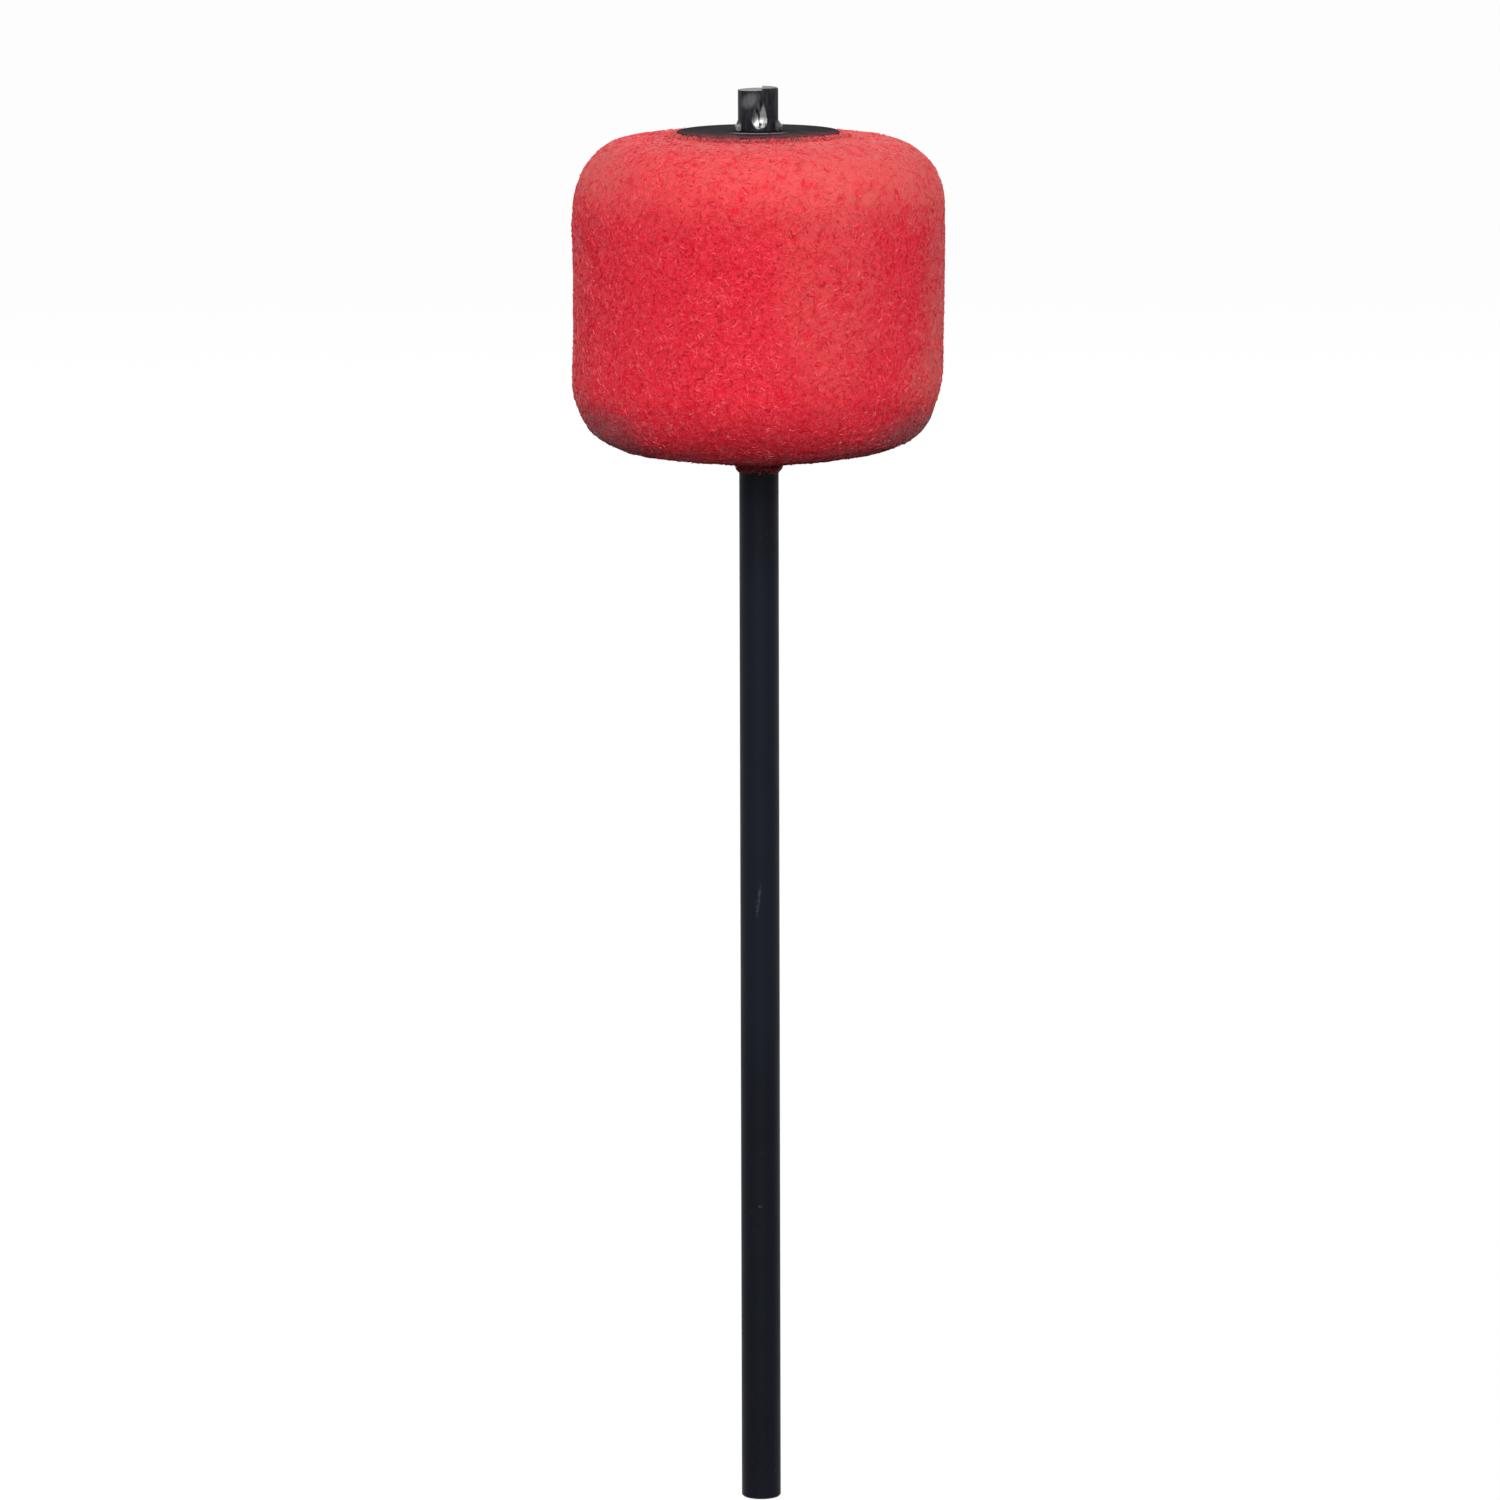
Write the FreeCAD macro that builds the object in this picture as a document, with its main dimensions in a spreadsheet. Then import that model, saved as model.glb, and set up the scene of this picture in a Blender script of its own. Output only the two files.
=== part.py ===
import FreeCAD, Part
import math
import os
import Sketcher

# Bass drum beater: a steel rod with a felt head held near its top between two washers.
# Lengths are in millimetres and angles in degrees. The origin is on the rod's axis at its lower end.
# +Z runs up the rod to the head, and the front of the beater faces -Y.

SIZES = {
    # The rod, its chamfered lower end and the rounded rim of its upper end.
    "rod_diameter": 6.2,
    "rod_length": 224.72,
    "rod_end_chamfer": 0.25,
    "rod_rim_radius": 0.3,
    # The stub above the upper washer, spread a little by the pinch. Its end is sheared at two levels: left of the
    # step the metal broke off lower, by one drop at the step and by another at the rod's left side.
    "stub_diameter": 6.3,
    "stub_length": 6.78,
    "step_offset": 0.65,
    "step_drop": 0.3,
    "side_drop": 0.4,
    # The low collar upset on the rod as the head's lower stop. Its rounded lower edge shows just under the felt.
    "collar_length": 3.8,
    "collar_rise": 0.45,
    "collar_edge_radius": 0.3,
    # The pinch above the upper washer: a round-nosed dent, front and back, that runs out upwards. It lies a
    # little to the right of the axis.
    "dent_tool_radius": 1.8,
    "dent_depth": 0.9,
    "dent_run": 3.7,
    "dent_lift": 2.35,
    "dent_shift": 0.33,
    # The metal that the pinch squeezed out over the washer, as one ear on each side.
    "right_ear_width": 0.7,
    "left_ear_width": 0.46,
    "ear_height": 1.7,
    "ear_lip": 0.75,
    "ear_angle": 76.0,
    # The two washers.
    "washer_diameter": 25.4,
    "washer_thickness": 1.5,
    "washer_edge_radius": 0.3,
    "washer_clearance": 0.15,
    "washer_rim_gap": 0.3,
    # The felt head. Its height runs from the top of one crown to the top of the other, on the axis, and a crown is
    # the rise of the domed end from the head's side to the axis.
    "felt_diameter": 57.8,
    "felt_height": 51.55,
    "felt_top_crown": 2.06,
    "felt_bottom_crown": 4.43,
    "felt_top_corner": 10.6,
    "felt_bottom_corner": 10.85,
    # How far the upper washer stands above the top crown, and the lower one lies inside the bottom crown.
    "washer_proud": 0.2,
    "washer_inset": 2.2,
    # The sleeve that the head turns on.
    "sleeve_wall": 2.95,
    "sleeve_clearance": 0.05,
    "sleeve_end_float": 0.1,
    "sleeve_chamfer": 0.4,
    "sleeve_bond_gap": 0.05,
    # How far a cut runs past the metal it removes, and an added piece reaches into the metal that carries it.
    "overrun": 1.0,
}

FORMULAS = {
    "rod_radius": "rod_diameter / 2",
    "rod_rim_height": "rod_length - rod_rim_radius",
    "stub_radius": "stub_diameter / 2",
    "washer_face": "rod_length - stub_length",
    "washer_under": "washer_face - washer_thickness",
    "washer_radius": "washer_diameter / 2",
    "washer_bore_radius": "rod_radius + washer_clearance",
    "head_base": "washer_face - washer_proud - felt_height",
    "stop_face": "head_base + washer_inset",
    "collar_base": "stop_face - collar_length",
    "collar_radius": "rod_radius + collar_rise",
    "sleeve_bore_radius": "rod_radius + sleeve_clearance",
    "sleeve_radius": "sleeve_bore_radius + sleeve_wall",
    "sleeve_base": "stop_face + washer_thickness + sleeve_end_float",
    "sleeve_top": "washer_under - sleeve_end_float",
    "sleeve_length": "sleeve_top - sleeve_base",
    "felt_radius": "felt_diameter / 2",
    "felt_bore_radius": "sleeve_radius + sleeve_bond_gap",
    "felt_seat_radius": "washer_radius + washer_rim_gap",
    "felt_top_seat": "felt_height + washer_proud - washer_thickness",
    "felt_bottom_seat": "washer_inset + washer_thickness",
    "top_dome_radius": "(felt_radius ^ 2 + felt_top_crown ^ 2) / (2 * felt_top_crown)",
    "bottom_dome_radius": "(felt_radius ^ 2 + felt_bottom_crown ^ 2) / (2 * felt_bottom_crown)",
    "top_dome_centre": "felt_height - top_dome_radius",
    "dent_base": "washer_face + dent_lift",
    "dent_floor_radius": "stub_radius - dent_depth",
    "dent_slope": "atan(dent_run / dent_depth)",
    "dent_length": "sqrt(dent_run ^ 2 + dent_depth ^ 2) + overrun",
    "ear_top": "washer_face + ear_height",
    "ear_lip_top": "washer_face + ear_lip",
    "ear_root_radius": "stub_radius - overrun",
}

# How a constraint names a point of a piece, the sketch's origin and its axis along Z.
START, END, CENTRE = range(1, 4)
ORIGIN_INDEX, Z_AXIS_INDEX = -1, -2
ORIGIN = (ORIGIN_INDEX, START)
FULL_TURN = 360

doc = FreeCAD.newDocument("bass_drum_beater")
sheet = doc.addObject("Spreadsheet::Sheet", "Sizes")


def fill_sheet():
    """Put each size, and each value worked out from them, in a cell with an alias."""
    rows = [(name, str(number)) for name, number in SIZES.items()]
    rows += [(name, "=" + formula) for name, formula in FORMULAS.items()]
    for row, (name, content) in enumerate(rows, start=1):
        sheet.set(f"A{row}", name)
        sheet.set(f"B{row}", content)
        sheet.setAlias(f"B{row}", name)
    doc.recompute()


def size(name):
    """The number in a named cell."""
    return float(getattr(sheet.get(name), "Value", sheet.get(name)))


def make_body(name):
    body = doc.addObject("PartDesign::Body", name)
    body.Label = name
    return body


def place(body, height, flipped=False):
    """Stand a body on the axis at a named height, turned over about X if flipped."""
    half_turn = FreeCAD.Rotation(FreeCAD.Vector(1, 0, 0), FULL_TURN / 2 if flipped else 0)
    body.Placement = FreeCAD.Placement(FreeCAD.Vector(0, 0, 0), half_turn)
    body.setExpression("Placement.Base.z", height)


def origin_plane(body, role):
    return next(feature for feature in body.Origin.OriginFeatures if feature.Role == role)


def make_sketch(body, name, plane):
    """A sketch on one of the body's upright planes, with its second axis along Z."""
    sketch = body.newObject("Sketcher::SketchObject", name)
    sketch.AttachmentSupport = (origin_plane(body, plane), [""])
    sketch.MapMode = "FlatFace"
    return sketch


def add_line(sketch, start, end):
    return sketch.addGeometry(Part.LineSegment(FreeCAD.Vector(*start, 0), FreeCAD.Vector(*end, 0)))


def add_arc(sketch, centre, radius, from_angle, to_angle):
    """An anticlockwise arc between two angles in radians."""
    circle = Part.Circle(FreeCAD.Vector(*centre, 0), FreeCAD.Vector(0, 0, 1), radius)
    return sketch.addGeometry(Part.ArcOfCircle(circle, from_angle, to_angle))


def join(sketch, pieces, smooth=()):
    """Join each piece's end to the next one's start, in a closed loop, tangent where the pair is named smooth."""
    for here, there in zip(pieces, pieces[1:] + pieces[:1]):
        kind = "Tangent" if (here, there) in smooth else "Coincident"
        sketch.addConstraint(Sketcher.Constraint(kind, here, END, there, START))


def level(sketch, pieces):
    for piece in pieces:
        sketch.addConstraint(Sketcher.Constraint("Horizontal", piece))


def upright(sketch, pieces):
    for piece in pieces:
        sketch.addConstraint(Sketcher.Constraint("Vertical", piece))


def dimension(sketch, kind, parts, expression, value):
    """Add a dimension that follows an expression. The value is what the drawn geometry already measures."""
    index = sketch.addConstraint(Sketcher.Constraint(kind, *parts, value))
    sketch.setExpression(f"Constraints[{index}]", expression)


def at_radius(sketch, piece, point, name):
    """Hold a point at a named distance from the axis."""
    dimension(sketch, "DistanceX", (*ORIGIN, piece, point), f"Sizes.{name}", size(name))


def at_height(sketch, piece, point, name):
    """Hold a point at a named height above the sketch's origin."""
    dimension(sketch, "DistanceY", (*ORIGIN, piece, point), f"Sizes.{name}", size(name))


def of_radius(sketch, arc, name):
    dimension(sketch, "Radius", (arc,), f"Sizes.{name}", size(name))


def revolve(body, sketch, name, angle=None):
    """Turn a profile about the axis, all the way round or evenly to both sides by a named angle."""
    solid = body.newObject("PartDesign::Revolution", name)
    solid.Profile = sketch
    solid.ReferenceAxis = (sketch, ["V_Axis"])
    solid.Angle = FULL_TURN
    if angle:
        solid.Midplane = True
        solid.setExpression("Angle", f"Sizes.{angle}")
    return solid


def check_change(feature, sign):
    """Stop if a feature did not add metal (sign 1) or remove it (sign -1)."""
    doc.recompute()
    change = feature.Shape.Volume - feature.BaseFeature.Shape.Volume
    if change * sign <= 0:
        raise RuntimeError(f"{feature.Label} changed the volume by {change}")


def rod_blank(body):
    """The rod: chamfered lower end, upset collar, flare in the upper washer's hole and the stub's rounded rim."""
    sketch = make_sketch(body, "rod_profile", "XZ_Plane")
    radius, length, stub_side = size("rod_radius"), size("rod_length"), size("stub_radius")
    chamfer, rim = size("rod_end_chamfer"), size("rod_rim_radius")
    collar_side, base, stop = size("collar_radius"), size("collar_base"), size("stop_face")
    under, face = size("washer_under"), size("washer_face")
    edge = size("collar_edge_radius")
    lower_face = add_line(sketch, (0, 0), (radius - chamfer, 0))
    bevel = add_line(sketch, (radius - chamfer, 0), (radius, chamfer))
    shank = add_line(sketch, (radius, chamfer), (radius, base))
    collar_under = add_line(sketch, (radius, base), (collar_side - edge, base))
    collar_edge = add_arc(sketch, (collar_side - edge, base + edge), edge, -math.pi / 2, 0)
    collar = add_line(sketch, (collar_side, base + edge), (collar_side, stop))
    collar_top = add_line(sketch, (collar_side, stop), (radius, stop))
    neck = add_line(sketch, (radius, stop), (radius, under))
    flare = add_line(sketch, (radius, under), (stub_side, face))
    stub = add_line(sketch, (stub_side, face), (stub_side, length - rim))
    rim_arc = add_arc(sketch, (stub_side - rim, length - rim), rim, 0, math.pi / 2)
    upper_face = add_line(sketch, (stub_side - rim, length), (0, length))
    axis = add_line(sketch, (0, length), (0, 0))
    loop = [lower_face, bevel, shank, collar_under, collar_edge, collar, collar_top, neck, flare, stub, rim_arc,
            upper_face, axis]
    rounded = [(collar_under, collar_edge), (collar_edge, collar), (stub, rim_arc), (rim_arc, upper_face)]
    join(sketch, loop, rounded)
    level(sketch, [lower_face, collar_under, collar_top, upper_face])
    upright(sketch, [shank, collar, neck, stub, axis])
    sketch.addConstraint(Sketcher.Constraint("Coincident", lower_face, START, *ORIGIN))
    dimension(sketch, "DistanceX", (bevel, START, bevel, END), "Sizes.rod_end_chamfer", chamfer)
    at_radius(sketch, shank, START, "rod_radius")
    at_height(sketch, shank, START, "rod_end_chamfer")
    at_height(sketch, shank, END, "collar_base")
    at_radius(sketch, collar, START, "collar_radius")
    of_radius(sketch, collar_edge, "collar_edge_radius")
    at_radius(sketch, neck, START, "rod_radius")
    at_height(sketch, neck, START, "stop_face")
    at_height(sketch, neck, END, "washer_under")
    at_radius(sketch, stub, START, "stub_radius")
    at_height(sketch, stub, START, "washer_face")
    at_height(sketch, stub, END, "rod_rim_height")
    of_radius(sketch, rim_arc, "rod_rim_radius")
    revolve(body, sketch, "rod_blank")


def sheared_end(body):
    """Cut the stub's left part lower than its right part, with a slope down to the left."""
    sketch = make_sketch(body, "sheared_end_profile", "XZ_Plane")
    side = size("rod_radius") + size("overrun")
    step, length, over = size("step_offset"), size("rod_length"), size("overrun")
    side_height, step_height = length - size("side_drop"), length - size("step_drop")
    floor = add_line(sketch, (-side, side_height), (step, step_height))
    wall = add_line(sketch, (step, step_height), (step, length + over))
    above = add_line(sketch, (step, length + over), (-side, length + over))
    outside = add_line(sketch, (-side, length + over), (-side, side_height))
    join(sketch, [floor, wall, above, outside])
    level(sketch, [above])
    upright(sketch, [wall, outside])
    dimension(sketch, "DistanceX", (floor, START, *ORIGIN), "Sizes.rod_radius + Sizes.overrun", side)
    dimension(sketch, "DistanceY", (*ORIGIN, floor, START), "Sizes.rod_length - Sizes.side_drop", side_height)
    dimension(sketch, "DistanceY", (*ORIGIN, floor, END), "Sizes.rod_length - Sizes.step_drop", step_height)
    dimension(sketch, "DistanceY", (*ORIGIN, above, START), "Sizes.rod_length + Sizes.overrun", length + over)
    at_radius(sketch, wall, START, "step_offset")
    cut = body.newObject("PartDesign::Pocket", "sheared_end")
    cut.Profile = sketch
    cut.SideType = "Symmetric"
    cut.setExpression("Length", "Sizes.rod_diameter + 2 * Sizes.overrun")
    check_change(cut, -1)


def pinch_dents(body):
    """Press a round-nosed dent into the back of the stub, sloping out upwards, and mirror it to the front."""
    sketch = make_sketch(body, "dent_profile", "YZ_Plane")
    sketch.setExpression("AttachmentOffset.Base.z", "Sizes.dent_shift")
    nose, slope = size("dent_tool_radius"), math.radians(size("dent_slope"))
    run = size("dent_length")
    along = (math.cos(slope), math.sin(slope))
    outward = (along[1], -along[0])
    deepest = (size("dent_floor_radius"), size("dent_base"))
    runout = (deepest[0] + run * along[0], deepest[1] + run * along[1])
    centre = (deepest[0] + nose * outward[0], deepest[1] + nose * outward[1])
    top = (runout[0] + nose * outward[0], runout[1] + nose * outward[1])
    tip = (centre[0] - nose * along[0], centre[1] - nose * along[1])
    floor = add_line(sketch, runout, deepest)
    round_nose = add_arc(sketch, centre, nose, slope + math.pi / 2, slope + math.pi)
    tool_axis = add_line(sketch, tip, top)
    tool_end = add_line(sketch, top, runout)
    join(sketch, [floor, round_nose, tool_axis, tool_end], [(floor, round_nose)])
    sketch.addConstraint(Sketcher.Constraint("Perpendicular", tool_axis, tool_end))
    sketch.addConstraint(Sketcher.Constraint("Parallel", floor, tool_axis))
    sketch.addConstraint(Sketcher.Constraint("PointOnObject", round_nose, CENTRE, tool_axis))
    at_radius(sketch, floor, END, "dent_floor_radius")
    at_height(sketch, floor, END, "dent_base")
    of_radius(sketch, round_nose, "dent_tool_radius")
    dimension(sketch, "Distance", (floor,), "Sizes.dent_length", run)
    dimension(sketch, "Angle", (tool_axis,), "Sizes.dent_slope", slope)
    dent = body.newObject("PartDesign::Groove", "back_dent")
    dent.Profile = sketch
    dent.ReferenceAxis = (sketch, [f"Edge{tool_axis + 1}"])
    dent.Angle = FULL_TURN
    check_change(dent, -1)
    mirrored = body.newObject("PartDesign::Mirrored", "front_dent")
    mirrored.Originals = [dent]
    mirrored.MirrorPlane = (origin_plane(body, "XZ_Plane"), [""])
    body.Tip = mirrored
    check_change(mirrored, -1)


def pinch_ear(body, side, turn):
    """Add the metal squeezed out over the washer on one side, a wedge that follows the stub's round wall."""
    sketch = make_sketch(body, f"{side}_ear_profile", "XZ_Plane")
    turned = FreeCAD.Rotation(FreeCAD.Vector(0, 1, 0), turn)
    sketch.AttachmentOffset = FreeCAD.Placement(FreeCAD.Vector(0, 0, 0), turned)
    width = f"{side}_ear_width"
    root, radius = size("ear_root_radius"), size("stub_radius")
    face, lip, top = size("washer_face"), size("ear_lip_top"), size("ear_top")
    tip = radius + size(width)
    under = add_line(sketch, (root, face), (tip, face))
    edge = add_line(sketch, (tip, face), (tip, lip))
    slope = add_line(sketch, (tip, lip), (radius, top))
    buried_top = add_line(sketch, (radius, top), (root, top))
    buried_side = add_line(sketch, (root, top), (root, face))
    join(sketch, [under, edge, slope, buried_top, buried_side])
    level(sketch, [under, buried_top])
    upright(sketch, [edge, buried_side])
    at_radius(sketch, under, START, "ear_root_radius")
    at_height(sketch, under, START, "washer_face")
    dimension(sketch, "DistanceX", (*ORIGIN, edge, END), f"Sizes.stub_radius + Sizes.{width}", tip)
    at_height(sketch, edge, END, "ear_lip_top")
    at_radius(sketch, slope, END, "stub_radius")
    at_height(sketch, slope, END, "ear_top")
    ear = revolve(body, sketch, f"{side}_ear", angle="ear_angle")
    check_change(ear, 1)


def make_shaft():
    body = make_body("shaft")
    rod_blank(body)
    sheared_end(body)
    pinch_ear(body, "right", 0)
    pinch_ear(body, "left", FULL_TURN / 2)
    pinch_dents(body)
    place(body, "0")
    return body


def make_washer(name, height, flipped=False):
    """A stamped disc. Its rolled edge is the upper one, or the lower one when the washer is flipped."""
    body = make_body(name)
    sketch = make_sketch(body, f"{name}_profile", "XZ_Plane")
    bore, outer = size("washer_bore_radius"), size("washer_radius")
    thick, roll = size("washer_thickness"), size("washer_edge_radius")
    under = add_line(sketch, (bore, 0), (outer, 0))
    rim = add_line(sketch, (outer, 0), (outer, thick - roll))
    rolled = add_arc(sketch, (outer - roll, thick - roll), roll, 0, math.pi / 2)
    face = add_line(sketch, (outer - roll, thick), (bore, thick))
    hole = add_line(sketch, (bore, thick), (bore, 0))
    join(sketch, [under, rim, rolled, face, hole], [(rim, rolled), (rolled, face)])
    level(sketch, [under, face])
    upright(sketch, [rim, hole])
    at_radius(sketch, under, START, "washer_bore_radius")
    dimension(sketch, "DistanceY", (*ORIGIN, under, START), "0", 0)
    at_radius(sketch, rim, START, "washer_radius")
    at_height(sketch, face, END, "washer_thickness")
    of_radius(sketch, rolled, "washer_edge_radius")
    revolve(body, sketch, f"{name}_disc")
    place(body, height, flipped)
    return body


def make_sleeve():
    """The hard tube inside the head, with chamfered mouths on its bore."""
    body = make_body("core_sleeve")
    sketch = make_sketch(body, "sleeve_profile", "XZ_Plane")
    bore, outer = size("sleeve_bore_radius"), size("sleeve_radius")
    long, chamfer = size("sleeve_length"), size("sleeve_chamfer")
    lower_end = add_line(sketch, (bore + chamfer, 0), (outer, 0))
    wall = add_line(sketch, (outer, 0), (outer, long))
    upper_end = add_line(sketch, (outer, long), (bore + chamfer, long))
    upper_mouth = add_line(sketch, (bore + chamfer, long), (bore, long - chamfer))
    hole = add_line(sketch, (bore, long - chamfer), (bore, chamfer))
    lower_mouth = add_line(sketch, (bore, chamfer), (bore + chamfer, 0))
    join(sketch, [lower_end, wall, upper_end, upper_mouth, hole, lower_mouth])
    level(sketch, [lower_end, upper_end])
    upright(sketch, [wall, hole])
    dimension(sketch, "DistanceY", (*ORIGIN, lower_end, START), "0", 0)
    at_radius(sketch, wall, START, "sleeve_radius")
    at_height(sketch, wall, END, "sleeve_length")
    at_radius(sketch, hole, START, "sleeve_bore_radius")
    at_height(sketch, hole, END, "sleeve_chamfer")
    for mouth, inner, mouth_end in ((upper_mouth, END, START), (lower_mouth, START, END)):
        dimension(sketch, "DistanceX", (mouth, inner, mouth, mouth_end), "Sizes.sleeve_chamfer", chamfer)
    dimension(sketch, "DistanceY", (upper_mouth, END, upper_mouth, START), "Sizes.sleeve_chamfer", chamfer)
    revolve(body, sketch, "sleeve_tube")
    place(body, "Sizes.sleeve_base")
    return body


def dome_corner(dome_radius, corner_radius):
    """How far a corner arc's centre lies below the dome's, for a dome facing down that meets the head's side."""
    across = size("felt_radius") - corner_radius
    return math.sqrt((dome_radius - corner_radius) ** 2 - across ** 2)


def make_felt():
    """The felt block: domed ends, round corners, a bore for the sleeve and a seat for each washer."""
    body = make_body("felt_head")
    sketch = make_sketch(body, "felt_profile", "XZ_Plane")
    bore, seat, side = size("felt_bore_radius"), size("felt_seat_radius"), size("felt_radius")
    low_seat, high_seat = size("felt_bottom_seat"), size("felt_top_seat")
    low_dome, high_dome = size("bottom_dome_radius"), size("top_dome_radius")
    low_corner, high_corner = size("felt_bottom_corner"), size("felt_top_corner")
    low_centre, high_centre = low_dome, size("top_dome_centre")
    low_across, high_across = side - low_corner, side - high_corner
    low_fall, high_rise = dome_corner(low_dome, low_corner), dome_corner(high_dome, high_corner)
    low_turn, high_turn = math.atan2(-low_fall, low_across), math.atan2(high_rise, high_across)
    low_start, high_end = -math.acos(seat / low_dome), math.acos(seat / high_dome)
    low_side, high_side = low_centre - low_fall, high_centre + high_rise
    low_mouth = low_centre + low_dome * math.sin(low_start)
    high_mouth = high_centre + high_dome * math.sin(high_end)
    hole = add_line(sketch, (bore, high_seat), (bore, low_seat))
    low_floor = add_line(sketch, (bore, low_seat), (seat, low_seat))
    low_wall = add_line(sketch, (seat, low_seat), (seat, low_mouth))
    low_crown = add_arc(sketch, (0, low_centre), low_dome, low_start, low_turn)
    low_round = add_arc(sketch, (low_across, low_side), low_corner, low_turn, 0)
    flank = add_line(sketch, (side, low_side), (side, high_side))
    high_round = add_arc(sketch, (high_across, high_side), high_corner, 0, high_turn)
    high_crown = add_arc(sketch, (0, high_centre), high_dome, high_turn, high_end)
    high_wall = add_line(sketch, (seat, high_mouth), (seat, high_seat))
    high_floor = add_line(sketch, (seat, high_seat), (bore, high_seat))
    outline = [low_crown, low_round, flank, high_round, high_crown]
    loop = [hole, low_floor, low_wall, *outline, high_wall, high_floor]
    join(sketch, loop, list(zip(outline, outline[1:])))
    level(sketch, [low_floor, high_floor])
    upright(sketch, [hole, low_wall, flank, high_wall])
    for crown in (low_crown, high_crown):
        sketch.addConstraint(Sketcher.Constraint("PointOnObject", crown, CENTRE, Z_AXIS_INDEX))
    at_radius(sketch, hole, START, "felt_bore_radius")
    at_radius(sketch, low_wall, START, "felt_seat_radius")
    at_radius(sketch, high_wall, START, "felt_seat_radius")
    at_radius(sketch, flank, START, "felt_radius")
    at_height(sketch, low_floor, START, "felt_bottom_seat")
    at_height(sketch, high_floor, START, "felt_top_seat")
    at_height(sketch, low_crown, CENTRE, "bottom_dome_radius")
    at_height(sketch, high_crown, CENTRE, "top_dome_centre")
    of_radius(sketch, low_crown, "bottom_dome_radius")
    of_radius(sketch, low_round, "felt_bottom_corner")
    of_radius(sketch, high_round, "felt_top_corner")
    of_radius(sketch, high_crown, "top_dome_radius")
    revolve(body, sketch, "felt_block")
    place(body, "Sizes.head_base")
    return body


def check_document(bodies):
    """Stop if any object failed to recompute or any piece is not one sound solid."""
    doc.recompute()
    for item in doc.Objects:
        if {"Invalid", "Error"} & set(item.State):
            raise RuntimeError(f"{item.Name} failed: {item.State}")
        if item.TypeId == "Sketcher::SketchObject" and item.solve() != 0:
            raise RuntimeError(f"{item.Name} does not solve")
    for body in bodies:
        shape = body.Shape
        if shape.isNull() or not shape.isValid() or len(shape.Solids) != 1:
            raise RuntimeError(f"{body.Label} is not one valid solid")


def main():
    fill_sheet()
    bodies = [
        make_shaft(),
        make_washer("top_washer", "Sizes.washer_under"),
        make_washer("bottom_washer", "Sizes.stop_face + Sizes.washer_thickness", flipped=True),
        make_sleeve(),
        make_felt(),
    ]
    check_document(bodies)
    os.makedirs("parts", exist_ok=True)
    for body in bodies:
        box = body.Shape.BoundBox
        print(f"{body.Label}: volume {body.Shape.Volume:.1f}, z {box.ZMin:.3f} to {box.ZMax:.3f}")
        body.Shape.exportStep(os.path.join("parts", f"{body.Label}.step"))


main()
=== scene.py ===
import math

import bpy
import numpy as np
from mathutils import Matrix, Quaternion, Vector, noise


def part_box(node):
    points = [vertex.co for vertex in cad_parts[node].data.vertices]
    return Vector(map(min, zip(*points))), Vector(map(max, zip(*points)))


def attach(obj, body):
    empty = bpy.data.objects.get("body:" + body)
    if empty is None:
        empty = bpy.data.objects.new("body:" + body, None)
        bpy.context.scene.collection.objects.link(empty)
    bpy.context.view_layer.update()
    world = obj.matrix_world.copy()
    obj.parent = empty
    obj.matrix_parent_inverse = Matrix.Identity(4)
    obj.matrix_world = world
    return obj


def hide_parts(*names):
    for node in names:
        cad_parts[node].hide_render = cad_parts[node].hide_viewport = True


# Looks of a bass drum beater: a black steel rod with a red felt head held between two washers.
# Lengths are in metres, in the frame of the solids: +Z up the rod, the front at -Y.

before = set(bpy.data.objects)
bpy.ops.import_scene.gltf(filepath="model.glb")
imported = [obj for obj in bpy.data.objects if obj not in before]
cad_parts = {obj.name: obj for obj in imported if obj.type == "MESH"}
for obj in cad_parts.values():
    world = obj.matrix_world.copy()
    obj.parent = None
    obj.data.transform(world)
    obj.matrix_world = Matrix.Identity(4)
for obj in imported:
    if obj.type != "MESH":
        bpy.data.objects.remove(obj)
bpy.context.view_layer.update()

MM = 0.001
FULL_TURN = 2 * math.pi

# Places and sizes read from the solids.
FELT_LOW, FELT_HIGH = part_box("felt_head")
WASHER_LOW, WASHER_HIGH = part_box("top_washer")
FELT_RADIUS = FELT_HIGH.x
WASHER_RADIUS = WASHER_HIGH.x
WASHER_FACE = WASHER_HIGH.z
TOP_SEAT = WASHER_LOW.z
BOTTOM_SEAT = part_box("bottom_washer")[1].z
ROD_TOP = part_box("shaft")[1].z
# Radii of the rod and of its stub above the head, as the solid has them.
ROD_RADIUS = 3.1 * MM
STUB_RADIUS = 3.15 * MM

# The felt's section, as the solid has it, and the small lip where it turns into a washer's seat.
SEAT_RADIUS = WASHER_RADIUS + 0.3 * MM
BORE_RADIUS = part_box("core_sleeve")[1].x + 0.05 * MM
TOP_CROWN = 2.06 * MM
BOTTOM_CROWN = 4.43 * MM
TOP_CORNER = 10.6 * MM
BOTTOM_CORNER = 10.85 * MM
LIP = 0.5 * MM

# The felt's mesh: the spacing of its rows, and how many points go round.
ROW_SPACING = 0.4 * MM
INNER_SPACING = 1.5 * MM
ROUND_POINTS = 432

# The felt's uneven surface: lump sizes with their heights, and how far from the lip they fade out.
RELIEF = ((11.0 * MM, 0.09 * MM), (4.0 * MM, 0.07 * MM), (1.5 * MM, 0.08 * MM))
RELIEF_FADE = 2.0 * MM
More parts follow.
